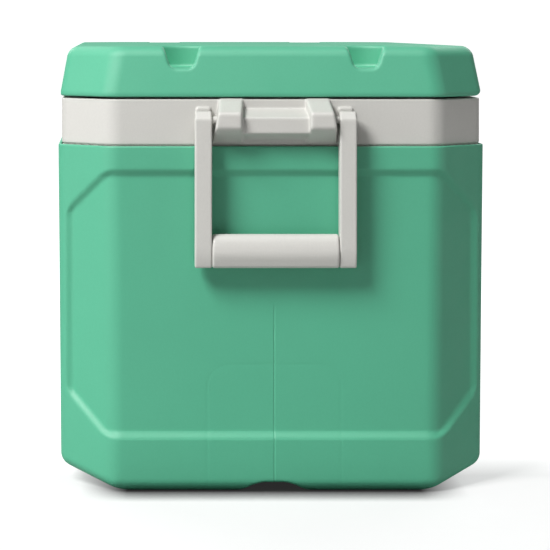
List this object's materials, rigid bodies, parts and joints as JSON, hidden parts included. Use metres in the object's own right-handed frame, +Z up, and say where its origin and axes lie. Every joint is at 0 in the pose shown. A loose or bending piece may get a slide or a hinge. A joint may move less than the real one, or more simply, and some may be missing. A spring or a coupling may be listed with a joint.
{
  "type": "insulated ice chest",
  "caption": "Foam-insulated plastic ice chest with a hinged lid, swing-down bail handles at both ends and a screw-capped drain.",
  "frame": {"origin": "centre of the footprint, on the floor", "axes": "+X towards the end without the drain, +Y towards the hinges at the back, +Z up"},
  "size_m": [0.728, 0.4134, 0.4242],
  "materials": {
    "mint_plastic": "satin, finely textured",
    "white_plastic": "satin off-white",
    "liner_plastic": "smooth white",
    "insulation_foam": "rigid closed-cell foam, unpainted",
    "black_rubber": "matt",
    "grey_rubber": "matt",
    "stainless_steel": "brushed"
  },
  "bodies": {
    "chest": {"outer_shell": "mint_plastic", "body_foam": "insulation_foam", "inner_liner": "liner_plastic", "rim_collar": "white_plastic", "foam_plug_left": "mint_plastic", "foam_plug_right": "mint_plastic", "drain_spout": "white_plastic", "drain_gasket": "black_rubber", "drain_nut": "white_plastic", "hinge_collar_leaf_left": "stainless_steel", "hinge_collar_leaf_middle": "stainless_steel", "hinge_collar_leaf_right": "stainless_steel", "hinge_pin_left": "stainless_steel", "hinge_pin_middle": "stainless_steel", "hinge_pin_right": "stainless_steel", "hinge_collar_screw_left_a": "stainless_steel", "hinge_collar_screw_left_b": "stainless_steel", "hinge_collar_screw_middle_a": "stainless_steel", "hinge_collar_screw_middle_b": "stainless_steel", "hinge_collar_screw_right_a": "stainless_steel", "hinge_collar_screw_right_b": "stainless_steel", "pivot_pin_left_front": "white_plastic", "pivot_pin_left_back": "white_plastic", "pivot_pin_right_front": "white_plastic", "pivot_pin_right_back": "white_plastic"},
    "lid": {"lid_outer": "mint_plastic", "lid_foam": "insulation_foam", "lid_liner": "liner_plastic", "lid_gasket": "black_rubber", "hinge_lid_leaf_left": "stainless_steel", "hinge_lid_leaf_middle": "stainless_steel", "hinge_lid_leaf_right": "stainless_steel", "hinge_lid_screw_left_a": "stainless_steel", "hinge_lid_screw_left_b": "stainless_steel", "hinge_lid_screw_middle_a": "stainless_steel", "hinge_lid_screw_middle_b": "stainless_steel", "hinge_lid_screw_right_a": "stainless_steel", "hinge_lid_screw_right_b": "stainless_steel"},
    "left_handle": {"handle_frame_left": "white_plastic", "grip_front_left": "white_plastic", "grip_back_left": "white_plastic", "grip_screw_left_a": "stainless_steel", "grip_screw_left_b": "stainless_steel"},
    "right_handle": {"handle_frame_right": "white_plastic", "grip_front_right": "white_plastic", "grip_back_right": "white_plastic", "grip_screw_right_a": "stainless_steel", "grip_screw_right_b": "stainless_steel"},
    "cap_carrier": {"drain_cap_seal": "black_rubber", "drain_tether": "grey_rubber"},
    "drain_cap": {"drain_cap": "white_plastic"}
  },
  "joints": [
    {"name": "lid_hinge", "type": "hinge", "parent": "chest", "child": "lid", "pos_m": [0, 0.195, 0.3845], "axis": [-1, 0, 0], "range_deg": [0, 98]},
    {"name": "left_handle_pivot", "type": "hinge", "parent": "chest", "child": "left_handle", "pos_m": [-0.35, 0, 0.3545], "axis": [0, 1, 0], "range_deg": [0, 90]},
    {"name": "right_handle_pivot", "type": "hinge", "parent": "chest", "child": "right_handle", "pos_m": [0.35, 0, 0.3545], "axis": [0, -1, 0], "range_deg": [0, 90]},
    {"name": "drain_cap_travel", "type": "slide", "parent": "chest", "child": "cap_carrier", "axis": [-1, 0, 0], "range_m": [0, 0.006]},
    {"name": "drain_cap_turn", "type": "hinge", "parent": "cap_carrier", "child": "drain_cap", "pos_m": [-0.33, 0, 0.057], "axis": [-1, 0, 0], "range_deg": [0, 720]}
  ],
  "couplings": [
    {"joint": "drain_cap_turn", "follows": "drain_cap_travel", "rad_per_m": 2094}
  ]
}
